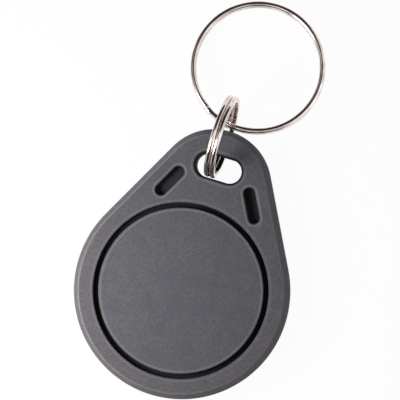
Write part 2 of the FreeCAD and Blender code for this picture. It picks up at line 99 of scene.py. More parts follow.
case["Tip Distance"] = shell_high.y - case["Tip Radius"]
case["Slot Middle"] = shell_high.y - BRIDGE - case["Slot Width"] / 2
side_lean = math.asin((case["Round End Radius"] - case["Tip Radius"]) / case["Tip Distance"])
print("case %.1f x %.1f x %.1f mm, sides lean %.1f degrees" % (
    2 * shell_high.x / MM, (shell_high.y - shell_low.y) / MM, case_top / MM, math.degrees(side_lean)))

# %% [markdown]
# The two blind recesses lie parallel to the straight sides. Each starts at a set gap from the ring
# groove and ends at a set gap from the slot, so their ends are worked out from those two gaps.

# %% Place of the recesses
def recess_ends():
    """How far along the straight side the centres of a recess's two round ends lie."""
    half = case["Recess Width"] / 2
    aside = case["Round End Radius"] - RECESS_INSET
    groove_side = case["Disc Radius"] + case["Groove Width"] + RECESS_GROOVE_GAP + half
    near = math.sqrt(groove_side ** 2 - aside ** 2)
    slot_end = Vector(((case["Slot Length"] - case["Slot Width"]) / 2, case["Slot Middle"]))
    outward = Vector((math.cos(side_lean), math.sin(side_lean)))
    along = Vector((-outward.y, outward.x))
    slot_side = case["Slot Width"] / 2 + RECESS_SLOT_GAP + half
    far = slot_end.dot(along) - math.sqrt(slot_side ** 2 - (aside - slot_end.dot(outward)) ** 2)
    return outward * aside + along * near, far - near


recess_start, case["Recess Reach"] = recess_ends()
case["Recess X"], case["Recess Y"] = recess_start
print("recess from (%.2f, %.2f) mm, %.2f mm between its ends' centres" % (
    case["Recess X"] / MM, case["Recess Y"] / MM, case["Recess Reach"] / MM))

# %% [markdown]
# ## Helpers for node trees
# Shapes and finishes are both node trees. `Value` stands for a socket, so that sums can be written
# as Python sums: each operator adds one Math node. `Graph.add` makes every other node: it takes the
# node's type, its settings, and the values or links of its sockets.

# %% Values and graphs
class Value:
    """A socket that gives a number, a vector, a colour or a shape."""

    def __init__(self, graph, socket):
        self.graph = graph
        self.socket = socket

    def __add__(self, other):
        return self.graph.maths("ADD", self, other)

    def __radd__(self, other):
        return self.graph.maths("ADD", other, self)

    def __sub__(self, other):
        return self.graph.maths("SUBTRACT", self, other)

    def __rsub__(self, other):
        return self.graph.maths("SUBTRACT", other, self)

    def __mul__(self, other):
        return self.graph.maths("MULTIPLY", self, other)

    def __rmul__(self, other):
        return self.graph.maths("MULTIPLY", other, self)

    def __truediv__(self, other):
        return self.graph.maths("DIVIDE", self, other)

    def __neg__(self):
        return self.graph.maths("MULTIPLY", self, -1.0)


class Graph:
    """A node tree that is being built."""

    def __init__(self, tree):
        self.tree = tree

    def add(self, kind, settings=None, inputs=None, output=0):
        """A new node of a kind, its settings made first, then its sockets fed."""
        node = self.tree.nodes.new(kind)
        for name, setting in (settings or {}).items():
            if name == "items":
                for _ in range(setting - len(node.index_switch_items)):
                    node.index_switch_items.new()
            else:
                setattr(node, name, setting)
        for key, fed in (inputs or {}).items():
            for one in fed if isinstance(fed, list) else [fed]:
                if isinstance(one, Value):
                    self.tree.links.new(one.socket, node.inputs[key])
                else:
                    node.inputs[key].default_value = one
        return Value(self, node.outputs[output]) if node.outputs else node

    def maths(self, operation, *numbers):
        return self.add("ShaderNodeMath", {"operation": operation}, dict(enumerate(numbers)))

    def vector(self, x, y, z):
        return self.add("ShaderNodeCombineXYZ", inputs={"X": x, "Y": y, "Z": z})

    def step(self, number, low, high):
        """0 below low, 1 above high, and a smooth climb between them."""
        return self.add("ShaderNodeMapRange", {"interpolation_type": "SMOOTHSTEP"},
                        {"Value": number, "From Min": low, "From Max": high})


print("helpers ready")

# %% [markdown]
# `ShapeTree` is a graph whose values come from outside by name. `grow` sets those values, runs the
# tree on an empty object and keeps what it makes as a plain mesh.

# %% Trees that make shapes
class ShapeTree(Graph):
    """A Geometry Nodes tree with named inputs."""

    def __init__(self, name):
        super().__init__(bpy.data.node_groups.new(name, "GeometryNodeTree"))
        self.inlet = self.tree.nodes.new("NodeGroupInput")

    def takes(self, name, kind="Float"):
        """Adds a named input and gives its value."""
        self.tree.interface.new_socket(name, in_out="INPUT", socket_type="NodeSocket" + kind)
        return Value(self, self.inlet.outputs[name])

    def gives(self, shape):
        """Ends the tree with a shape."""
        self.tree.interface.new_socket(
            "Geometry", in_out="OUTPUT", socket_type="NodeSocketGeometry")
        outlet = self.tree.nodes.new("NodeGroupOutput")
        self.tree.links.new(shape.socket, outlet.inputs["Geometry"])

    def finish(self, shape):
        """Ends the tree of a piece: no instances are left, and it has its material."""
        material = self.takes("Material", "Material")
        whole = self.add("GeometryNodeRealizeInstances", inputs={"Geometry": shape})
        self.gives(self.add("GeometryNodeSetMaterial",
                            inputs={"Geometry": whole, "Material": material}))

    def moved(self, shape, place, turn):
        return self.add("GeometryNodeTransform",
                        inputs={"Geometry": shape, "Translation": place, "Rotation": turn})


def grow(name, tree, sizes):
    """Runs a tree with its inputs set, and keeps the result as a plain mesh object."""
    piece = bpy.data.objects.new(name, bpy.data.meshes.new(name + "_start"))
    bpy.context.scene.collection.objects.link(piece)
    modifier = piece.modifiers.new("shape", "NODES")
    modifier.node_group = tree
    for item in tree.interface.items_tree:
        if item.in_out == "INPUT":
            modifier[item.identifier] = sizes[item.name]
    ready = bpy.context.evaluated_depsgraph_get()
    mesh = bpy.data.meshes.new_from_object(piece.evaluated_get(ready))
    piece.modifiers.remove(modifier)
    piece.data = mesh
    mesh.name = name
    return piece


print("shape helpers ready")

# %% [markdown]
# ## Finishes
# The case is matt ABS, moulded in a spark-eroded tool. Its skin has a fine grain that scatters the
# light, with faint clouds in the grey. All patterns read Object coordinates, which here are metres in
# the fob's own frame.

# %% Material helpers
def new_material(name):
    """A material with no nodes yet, and the graph that builds it."""
    material = bpy.data.materials.new(name)
    material.use_nodes = True
    material.node_tree.nodes.clear()
    return material, Graph(material.node_tree)


def place_of(graph):
    return graph.add("ShaderNodeTexCoord", output="Object")


def axes_of(graph, place):
    """The X, Y and Z of a vector."""
    split = graph.tree.nodes.new("ShaderNodeSeparateXYZ")
    graph.tree.links.new(place.socket, split.inputs[0])
    return [Value(graph, split.outputs[axis]) for axis in "XYZ"]


def strongest(graph, shares):
    """The largest of several numbers."""
    whole = shares[0]
    for share in shares[1:]:
        whole = graph.maths("MAXIMUM", whole, share)
    return whole


def noise(graph, place, size, detail=3.0):
    """Noise whose grains are about size metres across."""
    return graph.add("ShaderNodeTexNoise",
                     inputs={"Vector": place, "Scale": 1.0 / size, "Detail": detail})


def blend_colours(graph, factor, first, second):
    return graph.add("ShaderNodeMix", {"data_type": "RGBA"},
                     {"Factor": factor, 6: first, 7: second}, output=2)


def bumps(graph, height, depth, strength):
    """A bump whose full height is depth metres."""
    return graph.add("ShaderNodeBump",
                     inputs={"Height": height, "Distance": depth, "Strength": strength})


def finish_material(graph, **sockets):
    """Adds the shader and the output. A socket's name is written with _ for a space."""
    named = {name.replace("_", " "): value for name, value in sockets.items()}
    shader = graph.add("ShaderNodeBsdfPrincipled", inputs=named)
    graph.add("ShaderNodeOutputMaterial", inputs={"Surface": shader})


def rgb(red, green, blue):
    """A colour given as 0 to 255 on screen, as the linear colour that a shader takes."""
    linear = [((part / 255 + 0.055) / 1.055) ** 2.4 for part in (red, green, blue)]
    return (*linear, 1.0)


print("material helpers ready")

# %% [markdown]
# Painted shade follows the form: the inside of the groove, of the recesses and the lip of the slot
# are painted dark where shade falls in them, and a pale line runs along each edge. So the finish
# works out how far each point lies from those edges, from its X and Y alone.

# %% Distances on the face
def face_inset(graph, across, along):
    """How far a point lies inside the fob's outline, from its X and Y."""
    side = graph.maths("ABSOLUTE", across)
    cos_lean, sin_lean = math.cos(side_lean), math.sin(side_lean)
    outward = side * cos_lean + along * sin_lean
    up_side = along * cos_lean - side * sin_lean
    from_disc = length_of(graph, side, along)
    from_tip = length_of(graph, side, along - case["Tip Distance"])
    at_disc = graph.maths("LESS_THAN", up_side, 0.0)
    at_tip = graph.maths("GREATER_THAN", up_side, case["Tip Distance"] * cos_lean)
    between = 1.0 - at_disc - at_tip
    reach = at_disc * from_disc + between * outward
    inside_big = (1.0 - at_tip) * (case["Round End Radius"] - reach)
    return inside_big + at_tip * (case["Tip Radius"] - from_tip)


def length_of(graph, across, along):
    return graph.maths("SQRT", across * across + along * along)


def gap_to_run(graph, across, along, start, end, width):
    """How far a point lies outside a round-ended opening that runs between two centres."""
    run = end - start
    way = run.normalized()
    reach = (across - start.x) * way.x + (along - start.y) * way.y
    inside = graph.maths("MINIMUM", graph.maths("MAXIMUM", reach, 0.0), run.length)
    off_x = across - start.x - inside * way.x
    off_y = along - start.y - inside * way.y
    return length_of(graph, off_x, off_y) - width / 2


def line_at(graph, distance, middle, width):
    """1 on a line where distance equals middle, fading to 0 at half a width either side."""
    off = graph.maths("ABSOLUTE", distance - middle)
    return 1.0 - graph.step(off, 0.1 * width, 0.5 * width)


print("distances ready")

# %% [markdown]
# From those distances come the marks: painted shade on the insides and lips, the floors of the two
# recesses, whose painted shade is a little less dark, the pale edge lines, and the round rim, which
# is a touch warmer.

# %% Painted shade and pale lines on the face
def face_shade_and_lines(g, place):
    """How dark the insides are painted as shade, how pale the edge lines are, and what lies on the
    round rim.
    """
    x, y, z = axes_of(g, place)
    inset = face_inset(g, x, y)
    radius = length_of(g, x, y)
    slot_reach = Vector(((case["Slot Length"] - case["Slot Width"]) / 2, 0.0))
    slot_middle = Vector((0.0, case["Slot Middle"]))
    slot_gap = gap_to_run(
        g, x, y, slot_middle - slot_reach, slot_middle + slot_reach, case["Slot Width"])
    up_side = Vector((-math.sin(side_lean), math.cos(side_lean)))
    recess_end = recess_start + case["Recess Reach"] * up_side
    recess_gap = gap_to_run(
        g, g.maths("ABSOLUTE", x), y, recess_start, recess_end, case["Recess Width"])

    # Painted shade: the groove, the recesses and the slot's walls and lip are darkened where shade
    # falls in them, a little less on the recess floors.
    below_face = g.maths("MINIMUM", case_top - z, z)
    sunk_shade = g.step(below_face, 0.0, 0.16 * MM) * g.step(inset, 1.3 * MM, 1.5 * MM)
    slot_lip_shade = 1.0 - g.step(slot_gap, 0.18 * MM, 0.42 * MM)
    recess_lip_shade = 1.0 - g.step(recess_gap, 0.04 * MM, 0.22 * MM)
    recess_floor = 1.0 - g.step(recess_gap, -0.3 * MM, 0.1 * MM)
    dark = strongest(g, [sunk_shade, slot_lip_shade, recess_lip_shade])

    groove_outside = case["Disc Radius"] + case["Groove Width"]
    # A pale line along each edge: of the bevel, the disc, the groove, the slot and the recesses.
    pale_edge_lines = [  # how strong, distance from what, how far from it, how wide
        (0.8, inset, case["Bevel Width"] + 0.02 * MM, 0.36 * MM),
        (0.55, radius, case["Disc Radius"] - 0.32 * MM, 0.4 * MM),
        (0.4, radius, groove_outside + 0.34 * MM, 0.36 * MM),
        (0.5, slot_gap, 0.57 * MM, 0.36 * MM),
        (0.75, recess_gap, 0.42 * MM, 0.36 * MM)]
    pale = strongest(g, [share * line_at(g, distance, middle, width)
                         for share, distance, middle, width in pale_edge_lines])
    rim = g.step(radius, 13 * MM, 13.6 * MM) * (1.0 - g.step(y, 2 * MM, 14 * MM))
    return dark, recess_floor, pale, rim


print("marks ready")

# %% [markdown]
# The finish lays its colours over each other: two greys in clouds, a warmer tint in patches and on
# the rim, dark specks of the grain, then the pale edge lines, and the painted shade of the insides
# last.

# %% Matt grey plastic
def grey_plastic():
    material, g = new_material("grey_abs")
    place = place_of(g)
    dark, recess_floor, pale, rim = face_shade_and_lines(g, place)
    clouds = noise(g, place, 3.5 * MM, 4.0)
    specks = noise(g, place, 0.24 * MM, 2.0)
    grain = noise(g, place, 0.09 * MM, 2.0)
    tint = noise(g, place, 1.6 * MM, 2.0)
    edge_paleness = pale * (0.55 + 0.45 * noise(g, place, 1.2 * MM, 4.0))

    grey = blend_colours(g, g.step(clouds, 0.35, 0.65), rgb(84, 84, 93), rgb(89, 90, 95))
    warm = blend_colours(g, 0.7 * g.step(tint, 0.45, 0.65), grey, rgb(93, 91, 97))
    rimmed = blend_colours(g, 0.7 * rim, warm, rgb(98, 92, 95))
    speckled = blend_colours(g, 0.75 * g.step(specks, 0.42, 0.6), rimmed, rgb(75, 76, 81))
    with_edge_lines = blend_colours(g, 0.6 * edge_paleness, speckled, rgb(150, 147, 152))
    # Painted shade: the insides and lips near black, a little less on the recess floors; the same
    # mask makes them rougher.
    colour = blend_colours(g, (0.985 - 0.22 * recess_floor) * dark, with_edge_lines, rgb(4, 4, 5))
    rough = 0.48 + 0.12 * grain - 0.1 * edge_paleness + 0.3 * dark
    skin = bumps(g, 0.6 * grain + 0.4 * specks, 0.012 * MM, 0.9)
    finish_material(g, Base_Color=colour, Roughness=rough, Normal=skin, Specular_IOR_Level=0.3)
    return material


grey_abs = grey_plastic()
print("material", grey_abs.name, "with", len(grey_abs.node_tree.nodes), "nodes")

# %% [markdown]
# The rings are steel wire, rolled flat and bright nickel plated. A thin film dulls and browns the
# plating in patches and there are a few pits, so colour, roughness and bump vary a little.

# %% Bright nickel plate
def nickel():
    material, g = new_material("nickel_plate")
    place = place_of(g)
    film = noise(g, place, 2.2 * MM, 3.0)
    pits = noise(g, place, 0.12 * MM, 2.0)
    colour = blend_colours(g, g.step(film, 0.4, 0.62), rgb(206, 191, 186), rgb(236, 226, 222))
    rough = 0.05 + 0.08 * film
    skin = bumps(g, 0.5 * film + 0.5 * pits, 0.004 * MM, 0.6)
    finish_material(g, Base_Color=colour, Roughness=rough, Normal=skin, Metallic=1.0)
    return material


nickel_plate = nickel()
print("material", nickel_plate.name)

# %% [markdown]
# The coil, the chip and its carrier are closed in by the case. They keep their CAD solids and get
# finishes of their own, so that they look right when the case is opened or hidden.

# %% Finishes of the inner parts
def enamelled_wire():
    """Reddish enamelled copper, wound in fine turns round the coil."""
    material, g = new_material("enamelled_copper")
    place = place_of(g)
    x, y, z = axes_of(g, place)
    wire = 0.09 * MM
    radius = length_of(g, x, y)
    across = g.maths("SINE", radius * (2 * math.pi / wire))
    stacked = g.maths("SINE", z * (2 * math.pi / wire))
    turns = 0.5 + 0.25 * across + 0.25 * stacked
    colour = blend_colours(g, turns, rgb(116, 52, 26), rgb(206, 118, 72))
    rough = 0.42 - 0.16 * noise(g, place, 0.8 * MM)
    finish_material(g, Base_Color=colour, Roughness=rough, Metallic=0.75,
                    Normal=bumps(g, turns, 0.03 * MM, 0.7))
    return material


def speckled_finish(name, dark, pale, size, roughness, metallic=0.0, depth=0.004, coat=0.0):
    """A finish that varies a little between two colours, with roughness to match."""
    material, g = new_material(name)
    place = place_of(g)
    cloud = noise(g, place, size, 4.0)
    colour = blend_colours(g, g.step(cloud, 0.35, 0.65), dark, pale)
    finish_material(g, Base_Color=colour, Roughness=roughness + 0.12 * cloud, Metallic=metallic,
                    Coat_Weight=coat, Normal=bumps(g, noise(g, place, size / 6), depth * MM, 0.6))
    return material


def glass_epoxy():
    """Translucent green board with the weave of its glass cloth."""
    material, g = new_material("glass_epoxy")
    place = place_of(g)
    x, y, _ = axes_of(g, place)
    yarn = 2 * math.pi / (0.42 * MM)
    weave = 0.5 + 0.5 * g.maths("SINE", x * yarn) * g.maths("SINE", y * yarn)
    cloud = noise(g, place, 1.5 * MM)
    colour = blend_colours(g, 0.6 * weave + 0.3 * cloud, rgb(34, 74, 44), rgb(92, 128, 66))
    finish_material(g, Base_Color=colour, Roughness=0.3 + 0.15 * weave,
                    Normal=bumps(g, weave, 0.01 * MM, 0.5))
    return material


finishes = {
    "enamelled_copper": enamelled_wire(),
    "glass_epoxy": glass_epoxy(),
    "copper_foil": speckled_finish(
        "copper_foil", rgb(176, 104, 66), rgb(216, 146, 98), 0.5 * MM, 0.24, 1.0),
    "silicon": speckled_finish(
        "silicon", rgb(70, 74, 92), rgb(112, 106, 124), 0.16 * MM, 0.16, 0.7),
    "black_epoxy": speckled_finish(
        "black_epoxy", rgb(20, 20, 21), rgb(34, 33, 33), 0.6 * MM, 0.22, coat=0.4),
    "solder": speckled_finish(
        "solder", rgb(150, 150, 152), rgb(198, 196, 192), 0.3 * MM, 0.22, 1.0, 0.01),
    "grey_abs": grey_abs,
    "nickel_plate": nickel_plate,
}
inner_slots = {
    "antenna_coil": "enamelled_copper",
    "module_board": "glass_epoxy",
    "contact_pads": "copper_foil",
    "chip_die": "silicon",
    "glob_top": "black_epoxy",
    "solder_joints": "solder",
}
for node, slot_name in inner_slots.items():
    solid = frame["nodes"][node]
    solid.data.materials.clear()
    solid.data.materials.append(finishes[slot_name])
    print(node, "is", slot_name)

# %% [markdown]
# ## The case
# Every closed line on the case is a large and a small arc joined by the straight lines that touch
# both: the outline, and with equal arcs the slot and the recesses. One small tree makes such a
# line from two radii and a distance. It moves the points of a circle: the first half onto the near
# arc, the rest onto the far arc.

# %% A line of two arcs
ARC_POINTS = 96


def two_arc_loop():
    g = ShapeTree("Two Arc Loop")
    near, far, distance = g.takes("Near Radius"), g.takes("Far Radius"), g.takes("Distance")
    lean = g.maths("ARCSINE", (near - far) / distance)
    index = g.add("GeometryNodeInputIndex")
    on_far = g.maths("GREATER_THAN", index, ARC_POINTS - 0.5)
    share = (index - on_far * ARC_POINTS) / (ARC_POINTS - 1)
    start = math.pi - lean + on_far * (2 * lean - math.pi)
    sweep = math.pi + 2 * lean - on_far * 4 * lean
    angle = start + sweep * share
    radius = near + on_far * (far - near)
    point = g.vector(radius * g.maths("COSINE", angle),
                     radius * g.maths("SINE", angle) + on_far * distance, 0.0)
    circle = g.add("GeometryNodeCurvePrimitiveCircle", {"mode": "RADIUS"},
                   {"Resolution": 2 * ARC_POINTS})
    g.gives(g.add("GeometryNodeSetPosition", inputs={"Geometry": circle, "Position": point}))
    return g.tree


loop_tree = two_arc_loop()
print("tree", loop_tree.name, "with", len(loop_tree.nodes), "nodes")

# %% [markdown]
# A half of the case is made of bands and flats. A band sweeps a section along a closed line: the
# bevelled side, the ring groove, and the walls of the slot, the recesses and the coil's cavity. A
# flat fills the room between closed lines at one height. Where they meet, their points coincide,
# and merging them gives one closed skin.

# %% Bands and flats
EDGE_STEPS = 5
FLAT_MARGIN = 0.1 * MM


class CaseTree(ShapeTree):
    def loop(self, near, far, distance, place=None, turn=None):
        """A two arc line, turned and then moved."""
        line = self.add("GeometryNodeGroup", {"node_tree": loop_tree},
                        {"Near Radius": near, "Far Radius": far, "Distance": distance})
        return self.moved(line, place, turn) if place else line

    def circle(self, radius):
        return self.add("GeometryNodeCurvePrimitiveCircle", {"mode": "RADIUS"},
                        {"Resolution": 2 * ARC_POINTS, "Radius": radius})

    def band(self, line, corners):
        """Sweeps a section along a line. A corner is how far it is out, its height, its rounding."""
        index = self.add("GeometryNodeInputIndex")
        points = {1 + i: self.vector(out, -height, 0.0) for i, (out, height, _) in enumerate(corners)}
        rounds = {1 + i: rounding for i, (_, _, rounding) in enumerate(corners)}
        many = len(corners)
        point = self.add("GeometryNodeIndexSwitch", {"data_type": "VECTOR", "items": many},
                         {0: index, **points})
        rounding = self.add("GeometryNodeIndexSwitch", {"data_type": "FLOAT", "items": many},
                            {0: index, **rounds})
        chain = self.add("GeometryNodeMeshLine", {"mode": "OFFSET"}, {"Count": many})
        section = self.add("GeometryNodeMeshToCurve", inputs={"Mesh": chain})
        section = self.add("GeometryNodeSetPosition", inputs={"Geometry": section, "Position": point})
        section = self.add("GeometryNodeFilletCurve", {"mode": "POLY"},
                           {"Curve": section, "Count": EDGE_STEPS, "Radius": rounding,
                            "Limit Radius": True})
        upright = self.add("GeometryNodeSetCurveNormal", {"mode": "Z_UP"}, {"Curve": line})
        return self.add("GeometryNodeCurveToMesh",
                        inputs={"Curve": upright, "Profile Curve": section})

    def flat(self, lines, height):
        """Fills the room inside the first line and outside the others."""
        together = self.add("GeometryNodeJoinGeometry", inputs={"Geometry": lines})
        filled = self.add("GeometryNodeFillCurve", {"mode": "TRIANGLES"}, {"Curve": together})
        return self.add("GeometryNodeSetPosition",
                        inputs={"Geometry": filled, "Offset": self.vector(0.0, 0.0, height)})


print("bands and flats ready")

# %% [markdown]
# The same tree makes both halves. It is drawn with the parting plane at zero and the face on top. The
# back half is turned over, and has a groove where the front half has the tongue of the weld.

# %% The tree of half a case
def half_case():
    g = CaseTree("Half Case")
    size = {name: g.takes(name) for name in [*case, *TONGUE]}
    top = size["Face Height"]
    big, tip, distance = [size[name] for name in ("Round End Radius", "Tip Radius", "Tip Distance")]

    def outline(inset):
        return g.loop(big - inset, tip - inset, distance)

    rim = size["Bevel Width"] + size["Face Edge Radius"] + FLAT_MARGIN
    seam_out = size["Seam Inset"] - size["Seam Half Width"]
    seam_in = size["Seam Inset"] + size["Seam Half Width"]
    chamfer = size["Parting Chamfer"]
    side = g.band(outline(0.0), [
        (-rim, top, 0.0), (-size["Bevel Width"], top, size["Face Edge Radius"]),
        (0.0, top - size["Bevel Rise"], size["Shoulder Radius"]), (0.0, chamfer, 0.0),
        (-chamfer, 0.0, 0.0), (-seam_out, 0.0, 0.0), (-seam_out, -size["Seam Drop"], 0.0),
        (-seam_in, -size["Seam Drop"], 0.0), (-seam_in, 0.0, 0.0)])

    disc, groove, edge = size["Disc Radius"], size["Groove Width"], size["Groove Edge Radius"]
    floor = top - size["Groove Depth"]
    step = edge + FLAT_MARGIN
    ring_groove = g.band(g.circle(disc), [
        (-step, top, 0.0), (0.0, top, edge), (0.0, floor, 0.5 * edge),
        (groove, floor, 0.5 * edge), (groove, top, edge), (groove + step, top, 0.0)])

    slot_half, slot_reach = size["Slot Width"] / 2, size["Slot Length"] - size["Slot Width"]
    slot_place = g.vector(slot_reach / -2, size["Slot Middle"], 0.0)

    def slot_line(margin):
        radius = slot_half + margin
        return g.loop(radius, radius, slot_reach, slot_place, (0, 0, -math.pi / 2))

    slot_step = size["Slot Edge Radius"] + FLAT_MARGIN
    slot = g.band(slot_line(0.0), [
        (slot_step, top, 0.0), (0.0, top, size["Slot Edge Radius"]), (0.0, 0.0, 0.0)])

    recess_half, recess_floor = size["Recess Width"] / 2, top - size["Recess Depth"]
    recess_step = size["Recess Edge Radius"] + FLAT_MARGIN
    shapes, rim_lines = [], [outline(rim), g.circle(disc + groove + step), slot_line(slot_step)]
    for hand in (1, -1):
        place = g.vector(hand * size["Recess X"], size["Recess Y"], 0.0)
        turn = (0, 0, hand * side_lean)

        def recess_line(margin):
            radius = recess_half + margin
            return g.loop(radius, radius, size["Recess Reach"], place, turn)

        shapes.append(g.band(recess_line(0.0), [
            (recess_step, top, 0.0), (0.0, top, size["Recess Edge Radius"]),
            (0.0, recess_floor, 2 * FLAT_MARGIN), (-3 * FLAT_MARGIN, recess_floor, 0.0)]))
        shapes.append(g.flat([recess_line(-3 * FLAT_MARGIN)], recess_floor))
        rim_lines.append(recess_line(recess_step))

    cavity, ceiling = g.circle(size["Cavity Radius"]), top - size["Face Wall"]
    shapes += [
        side, ring_groove, slot,
        g.flat(rim_lines, top),
        g.flat([g.circle(disc - step)], top),
        g.band(cavity, [(0.0, 0.0, 0.0), (0.0, ceiling, 0.0)]),
        g.flat([cavity], ceiling),
        g.flat([outline(seam_in), slot_line(0.0), cavity], 0.0)]
    skin = g.add("GeometryNodeJoinGeometry", inputs={"Geometry": shapes})
    skin = g.add("GeometryNodeMergeByDistance", inputs={"Geometry": skin, "Distance": 0.01 * MM})
    turned = g.vector(0.0, size["Turned Over"] * math.pi, 0.0)
    g.finish(g.moved(skin, g.vector(0.0, 0.0, top), turned))
    return g.tree


case_tree = half_case()
print("tree", case_tree.name, "with", len(case_tree.nodes), "nodes")

# %% [markdown]
# The skin's faces are turned outwards once it is closed. Smooth shading is kept off the sharp
# corners, and weighted normals keep the large flats even beside their rounded edges.

# %% Both halves
def close_skin(piece, sharp_degrees):
    """Turns a closed mesh's faces outwards, and shades it smooth between its sharp edges."""
    sheet = bmesh.new()
    sheet.from_mesh(piece.data)
    bmesh.ops.dissolve_degenerate(sheet, dist=0.001 * MM, edges=sheet.edges)
    bmesh.ops.recalc_face_normals(sheet, faces=sheet.faces)
    open_edges = sum(not edge.is_manifold for edge in sheet.edges)
    sheet.to_mesh(piece.data)
    sheet.free()
    piece.data.shade_smooth()
    piece.data.set_sharp_from_angle(angle=math.radians(sharp_degrees))
    weighted = piece.modifiers.new("even_flats", "WEIGHTED_NORMAL")
    weighted.keep_sharp = True
    weighted.weight = 100
    print(piece.name, len(piece.data.polygons), "faces,", open_edges, "open edges")


def join_frame(piece, body, node):
    """The piece rides on a body, and the CAD node that it stands for is hidden."""
    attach(piece, body)
    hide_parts(node)


for node, seam in (("front_shell", TONGUE), ("back_shell", TONGUE_GROOVE)):
    half = grow(node + "_skin", case_tree, {**case, **seam, "Material": grey_abs})
    close_skin(half, 40)
    join_frame(half, "fob", node)

# %% [markdown]
# ## The split rings
# A split ring is one flattened wire in two turns. From its cut end the wire runs round once, climbs
# over its own start in a short jog, and runs round again on top. The centre line is a rule of the
# angle alone, so Geometry Nodes move the points of a straight line onto it and sweep a rounded
# rectangle along it. The small ring's wire is less rounded on its inside. Its jog is under the tip.

# %% The tree of a split ring
RING_POINTS = 560
WIRE_EDGE_STEPS = 5


def split_ring():
    g = ShapeTree("Split Ring")
    names = ("Outer Diameter", "Wire Width", "Wire Height", "Outer Corner", "Inner Corner",
             "Turn Gap", "End Gap", "Jog Angle")
    diameter, width, height, outer, inner, turn_gap, end_gap, jog = [g.takes(name) for name in names]
    centre, turn = g.takes("Centre", "Vector"), g.takes("Turn", "Rotation")
    whole_turn = 2 * math.pi - jog - end_gap / (diameter / 2)
    index = g.add("GeometryNodeInputIndex")
    angle = (2 * whole_turn + jog) * (index / (RING_POINTS - 1)) - (whole_turn + jog / 2)
    climbed = g.step(angle, -jog / 2, jog / 2) - 0.5
    radius = (diameter - width) / 2
    point = g.vector(radius * g.maths("COSINE", angle), radius * g.maths("SINE", angle),
                     (height + turn_gap) * climbed)
    chain = g.add("GeometryNodeMeshLine", {"mode": "OFFSET"}, {"Count": RING_POINTS})
    line = g.add("GeometryNodeMeshToCurve", inputs={"Mesh": chain})
    line = g.add("GeometryNodeSetPosition", inputs={"Geometry": line, "Position": point})
    line = g.add("GeometryNodeSetCurveNormal", {"mode": "Z_UP"}, {"Curve": line})
    section = g.add("GeometryNodeCurvePrimitiveQuadrilateral", {"mode": "RECTANGLE"},
                    {"Width": width, "Height": height})
    # The rectangle's second and third points, 1 and 2, face the ring's middle
    at_inside = g.maths("LESS_THAN", g.maths("ABSOLUTE", index - 1.5), 1.0)
    corner = outer + at_inside * (inner - outer)
    section = g.add("GeometryNodeFilletCurve", {"mode": "POLY"},
                    {"Curve": section, "Count": WIRE_EDGE_STEPS, "Radius": corner,
                     "Limit Radius": True})
    wire = g.add("GeometryNodeCurveToMesh",
                 inputs={"Curve": line, "Profile Curve": section, "Fill Caps": True})
    g.finish(g.moved(wire, centre, turn))
    return g.tree


ring_tree = split_ring()
print("tree", ring_tree.name, "with", len(ring_tree.nodes), "nodes")

# %% [markdown]
# Each ring's place and turn come from the joints. The small ring turns about its own axis, so that
# joint gives its middle and its lean. The large ring swings where it lies in the small one: that
# joint's axis is its tangent there, and with the way to its middle it gives the ring's own axis.

# %% Both rings
link_joint, key_joint = joints["link_turn"], joints["key_swing"]
link_axis = Vector(link_joint["axis"])
key_low, key_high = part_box("key_ring")
key_centre = (key_low + key_high) / 2
key_axis = (key_centre - Vector(key_joint["pos_m"])).cross(Vector(key_joint["axis"])).normalized()
if key_axis.z < 0:
    key_axis = -key_axis
key_tilt = math.atan2(key_axis.y, key_axis.z)
KEY_JOG_PLACE = math.radians(-113.5)
key_turn = Matrix.Rotation(-key_tilt, 3, "X") @ Matrix.Rotation(KEY_JOG_PLACE, 3, "Z")

rings = {
    "link_ring": {
        "Outer Diameter": 12.45 * MM, "Wire Width": 0.8 * MM, "Wire Height": 0.76 * MM,
        "Outer Corner": 0.35 * MM, "Inner Corner": 0.16 * MM, "Jog Angle": math.radians(27),
        "Centre": Vector(link_joint["pos_m"]),
        "Turn": (0.0, math.pi / 2 - math.asin(link_axis.z), 0.0)},
    "key_ring": {
        "Outer Diameter": 20.0 * MM, "Wire Width": 0.85 * MM, "Wire Height": 0.78 * MM,
        "Outer Corner": 0.36 * MM, "Inner Corner": 0.36 * MM, "Jog Angle": math.radians(17),
        "Centre": key_centre,
        "Turn": key_turn.to_euler()},
}
for node, ring in rings.items():
    shared = {"Turn Gap": 0.04 * MM, "End Gap": 0.35 * MM, "Material": nickel_plate}
    wire = grow(node + "_wire", ring_tree, {**ring, **shared})
    close_skin(wire, 50)
    join_frame(wire, "link" if node == "link_ring" else "key", node)
print("large ring tilts %.2f degrees" % math.degrees(key_tilt))

# %% [markdown]
# ## Floor, light and camera
# The fob lies on the far edge of its back and on the small ring, so the floor slopes a little in
# the fob's frame. It looks white to the camera and in reflections, and it keeps part of the shadow.
# It rises beyond the round end, so it stops short there, where it would hide the fob from the front.

# %% Floor
back_edge = case["Round End Radius"] - case["Bevel Width"]
link_low, link_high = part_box("link_ring")
link_middle_y = (link_low.y + link_high.y) / 2
slope = math.atan2(link_low.z, link_middle_y + back_edge)
FLOOR_SPAN = 0.6
FLOOR_FRONT = 0.025
FLOOR_WHITENESS = 0.96


def seen_or_reflected(graph):
    """1 for what the camera, a reflection or a transmission sees, 0 for the light on things."""
    path = graph.tree.nodes.new("ShaderNodeLightPath")
    kinds = ("Camera", "Glossy", "Transmission")
    rays = [Value(graph, path.outputs["Is %s Ray" % kind]) for kind in kinds]
    return graph.maths("MINIMUM", rays[0] + rays[1] + rays[2], 1.0)


